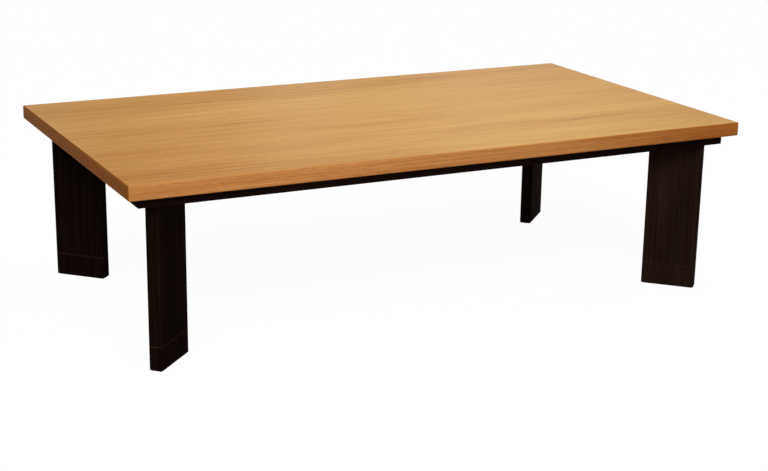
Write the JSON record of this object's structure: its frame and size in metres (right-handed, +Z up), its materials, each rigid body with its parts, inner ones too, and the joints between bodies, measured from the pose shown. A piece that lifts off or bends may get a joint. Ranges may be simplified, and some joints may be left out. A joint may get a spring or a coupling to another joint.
{
  "type": "kotatsu table",
  "caption": "Low rectangular heated table: loose oak plate on a thin dark underframe with a fan heater below and diagonal board legs with pull-off extension blocks.",
  "frame": {"origin": "middle of the table, on the floor that the feet stand on", "axes": "+X along the table's length, +Y across it to the back, +Z up"},
  "size_m": [1.35, 0.75, 0.375],
  "materials": {
    "oak": "clear satin lacquer over oak",
    "dark_wood": "espresso stain, satin",
    "dowel_wood": "plain beech",
    "felt": "pressed felt",
    "zinc_steel": "zinc plated",
    "black_steel": "heat-proof black paint",
    "black_plastic": "fine grained",
    "bright_aluminium": "polished",
    "quartz": "clear",
    "heating_wire": "oxidised",
    "ceramic": "unglazed",
    "motor_steel": "plain",
    "brass": "satin",
    "pale_plastic": "moulded",
    "fuse_case": "plain",
    "lead_cover": "silicone sleeve"
  },
  "bodies": {
    "frame": {"plate_discs": "felt", "long_rail_front": "dark_wood", "long_rail_back": "dark_wood", "end_rail_left": "dark_wood", "end_rail_right": "dark_wood", "cross_bar_left": "dark_wood", "cross_bar_right": "dark_wood", "heater_bar_front": "dark_wood", "heater_bar_back": "dark_wood", "tie_bar_left": "dark_wood", "tie_bar_right": "dark_wood", "corner_block_front_left": "dark_wood", "corner_block_front_right": "dark_wood", "corner_block_back_left": "dark_wood", "corner_block_back_right": "dark_wood", "leg_front_left": "dark_wood", "leg_front_right": "dark_wood", "leg_back_left": "dark_wood", "leg_back_right": "dark_wood", "frame_dowels": "dowel_wood", "leg_studs": "zinc_steel", "leg_nuts": "zinc_steel", "heater_screws": "zinc_steel", "heater_housing": "black_steel", "wire_guard": "black_steel", "heater_bezel": "black_plastic", "inlet_socket": "black_plastic", "reflector_front": "bright_aluminium", "reflector_back": "bright_aluminium", "quartz_tubes": "quartz", "heating_coils": "heating_wire", "tube_holders": "ceramic", "motor_can": "motor_steel", "motor_stator": "motor_steel", "thermostat": "motor_steel", "motor_bushes": "brass", "inlet_pins": "brass", "terminal_block": "pale_plastic", "thermal_fuse": "fuse_case", "internal_leads": "lead_cover"},
    "plate": {"top_panel": "oak", "edge_lipping_front": "oak", "edge_lipping_right": "oak", "edge_lipping_back": "oak", "edge_lipping_left": "oak"},
    "fan": {"motor_shaft": "motor_steel", "motor_rotor": "motor_steel", "fan_wheel": "black_plastic"},
    "extension_front_left": {"extension_front_left": "dark_wood", "extension_pins_front_left": "zinc_steel", "foot_felt_front_left": "felt"},
    "extension_front_right": {"extension_front_right": "dark_wood", "extension_pins_front_right": "zinc_steel", "foot_felt_front_right": "felt"},
    "extension_back_left": {"extension_back_left": "dark_wood", "extension_pins_back_left": "zinc_steel", "foot_felt_back_left": "felt"},
    "extension_back_right": {"extension_back_right": "dark_wood", "extension_pins_back_right": "zinc_steel", "foot_felt_back_right": "felt"}
  },
  "joints": [
    {"name": "plate_lift", "type": "slide", "parent": "frame", "child": "plate", "axis": [0, 0, 1], "range_m": [0, 0.2]},
    {"name": "fan_spin", "type": "hinge", "parent": "frame", "child": "fan", "pos_m": [0, 0, 0.305], "axis": [0, 0, 1], "continuous": true},
    {"name": "extension_front_left_pull", "type": "slide", "parent": "frame", "child": "extension_front_left", "axis": [0, 0, -1], "range_m": [0, 0.032]},
    {"name": "extension_front_right_pull", "type": "slide", "parent": "frame", "child": "extension_front_right", "axis": [0, 0, -1], "range_m": [0, 0.032]},
    {"name": "extension_back_left_pull", "type": "slide", "parent": "frame", "child": "extension_back_left", "axis": [0, 0, -1], "range_m": [0, 0.032]},
    {"name": "extension_back_right_pull", "type": "slide", "parent": "frame", "child": "extension_back_right", "axis": [0, 0, -1], "range_m": [0, 0.032]}
  ]
}
